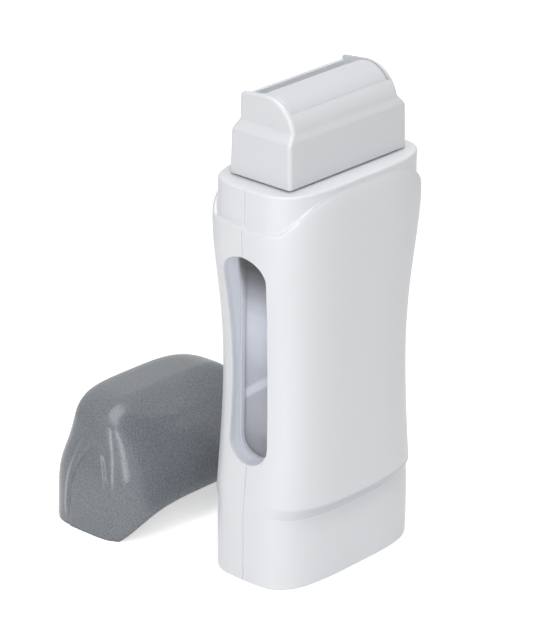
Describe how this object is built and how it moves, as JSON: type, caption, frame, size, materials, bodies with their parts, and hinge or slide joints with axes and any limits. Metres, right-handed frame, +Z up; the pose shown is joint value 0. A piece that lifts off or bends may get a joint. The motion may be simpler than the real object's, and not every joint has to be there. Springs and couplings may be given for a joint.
{
  "type": "roll-on wax heater",
  "caption": "Hand-held warmer with a waisted body and a side window, a lift-out wax cartridge with a roller head, and a rounded cap that stands beside it.",
  "frame": {"origin": "middle of the heater's flat base, on the surface that the heater and its cap stand on", "axes": "+Z up; X along the heater's wide faces, with the window on the -X side and the mains inlet on the +X side; +Y through the thickness, towards the side where the cap stands"},
  "size_m": [0.0812, 0.1074, 0.1674],
  "materials": {
    "shell_plastic": "glossy white moulding",
    "cap_plastic": "satin mid grey moulding",
    "clear_plastic": "clear moulding",
    "chamber_plastic": "heat-resistant grey moulding",
    "plate_aluminium": "plain sheet",
    "ptc_ceramic": "dark ceramic element",
    "polyimide_film": "amber film",
    "spring_steel": "plain strip",
    "steel": "plated",
    "inlet_plastic": "black moulding",
    "pin_brass": "plated",
    "lamp_lens": "translucent",
    "lamp_glass": "clear",
    "live_wire": "brown insulation",
    "neutral_wire": "blue insulation",
    "bottle_plastic": "translucent moulding",
    "wax": "opaque depilatory wax",
    "seal_rubber": "soft",
    "head_plastic": "glossy light grey moulding",
    "roller_plastic": "smooth"
  },
  "bodies": {
    "heater": {"front_shell": "shell_plastic", "rear_shell": "shell_plastic", "shell_screws": "steel", "side_window": "clear_plastic", "chamber_frame": "chamber_plastic", "front_heating_plate": "plate_aluminium", "rear_heating_plate": "plate_aluminium", "front_ptc_heater": "ptc_ceramic", "rear_ptc_heater": "ptc_ceramic", "front_insulator_film": "polyimide_film", "rear_insulator_film": "polyimide_film", "front_plate_spring": "spring_steel", "rear_plate_spring": "spring_steel", "thermostat": "steel", "thermal_fuse": "steel", "inlet_socket": "inlet_plastic", "inlet_pins": "pin_brass", "indicator_lens": "lamp_lens", "indicator_lamp": "lamp_glass", "live_lead": "live_wire", "neutral_lead": "neutral_wire", "thermostat_lead": "live_wire", "fuse_lead": "neutral_wire"},
    "cartridge": {"wax_bottle": "bottle_plastic", "wax_fill": "wax", "neck_seal": "seal_rubber", "cartridge_head": "head_plastic"},
    "roller": {"roller": "roller_plastic"},
    "cap": {"cap": "cap_plastic"}
  },
  "joints": [
    {"name": "cartridge_lift", "type": "slide", "parent": "heater", "child": "cartridge", "axis": [0, 0, 1], "range_m": [0, 0.115]},
    {"name": "roller_spin", "type": "hinge", "parent": "cartridge", "child": "roller", "pos_m": [0, 0, 0.1575], "axis": [1, 0, 0], "continuous": true},
    {"name": "cap_lift", "type": "slide", "parent": "heater", "child": "cap", "axis": [0, 0, 1], "range_m": [0, 0.175]}
  ]
}
